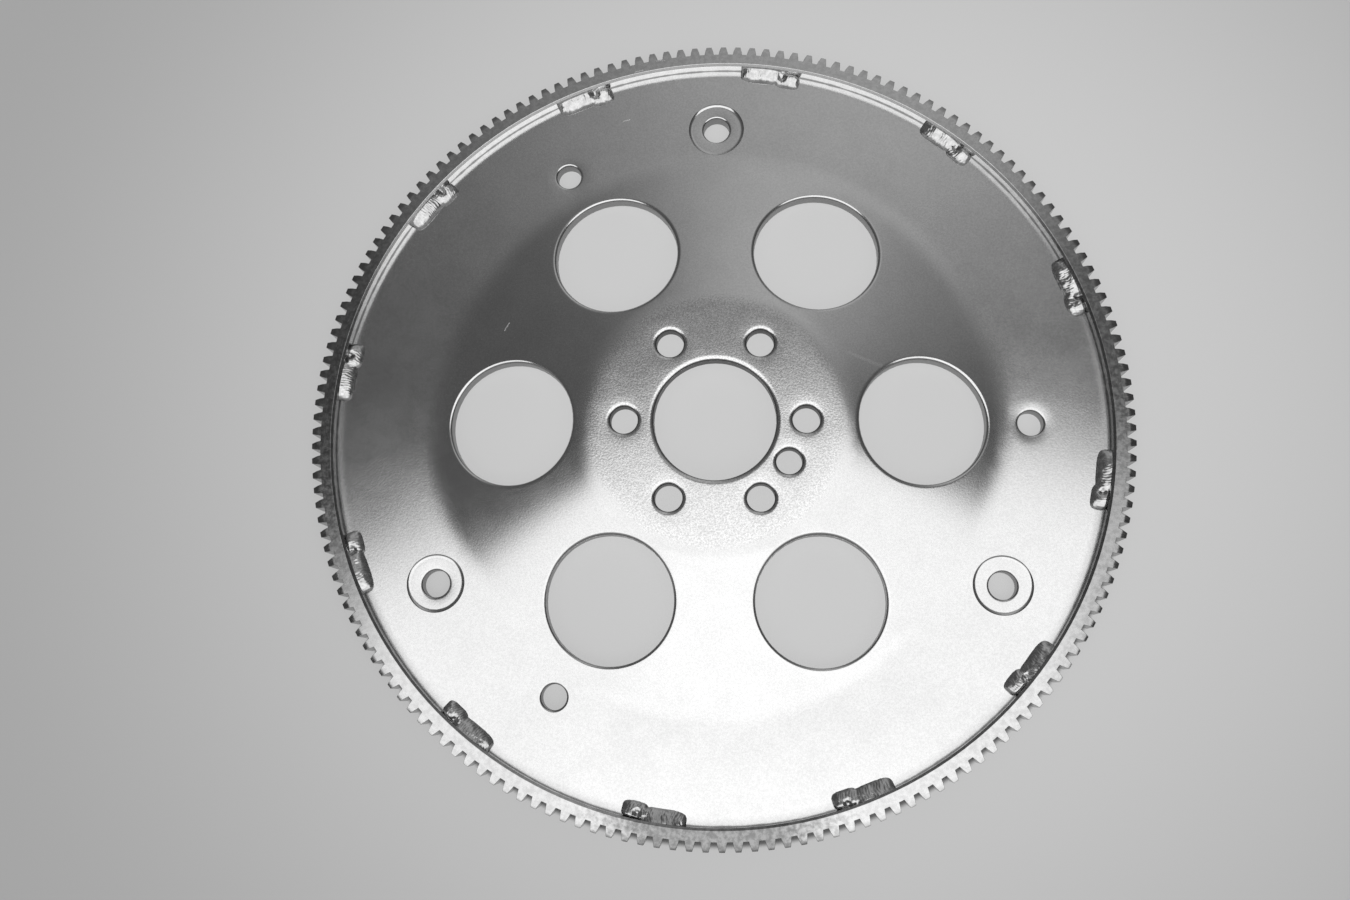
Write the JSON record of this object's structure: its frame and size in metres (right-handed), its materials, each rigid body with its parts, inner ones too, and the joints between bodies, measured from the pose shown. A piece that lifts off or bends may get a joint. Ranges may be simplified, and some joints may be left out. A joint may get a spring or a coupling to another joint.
{
  "type": "flexplate",
  "caption": "Dished steel flexplate with a welded starter ring gear, round lightening holes, a pilot bore and bolt circles for the crank and the converter.",
  "frame": {"origin": "on the crank's axis, at the surface that the converter pads stand on", "axes": "+Z along the crank's axis, out of the face that bolts to the crank; +Y towards one converter pad"},
  "size_m": [0.3592, 0.3592, 0.0171],
  "materials": {
    "plate_zinc": "bright zinc plating with a satin hub",
    "ring_zinc": "zinc plating, slightly duller than the plate",
    "weld_bead": "plated weld metal, shiny and rippled"
  },
  "bodies": {
    "root": {"plate": "plate_zinc", "ring_gear": "ring_zinc", "weld_01": "weld_bead", "weld_02": "weld_bead", "weld_03": "weld_bead", "weld_04": "weld_bead", "weld_05": "weld_bead", "weld_06": "weld_bead", "weld_07": "weld_bead", "weld_08": "weld_bead", "weld_09": "weld_bead", "weld_10": "weld_bead", "weld_11": "weld_bead", "weld_12": "weld_bead"}
  },
  "joints": []
}
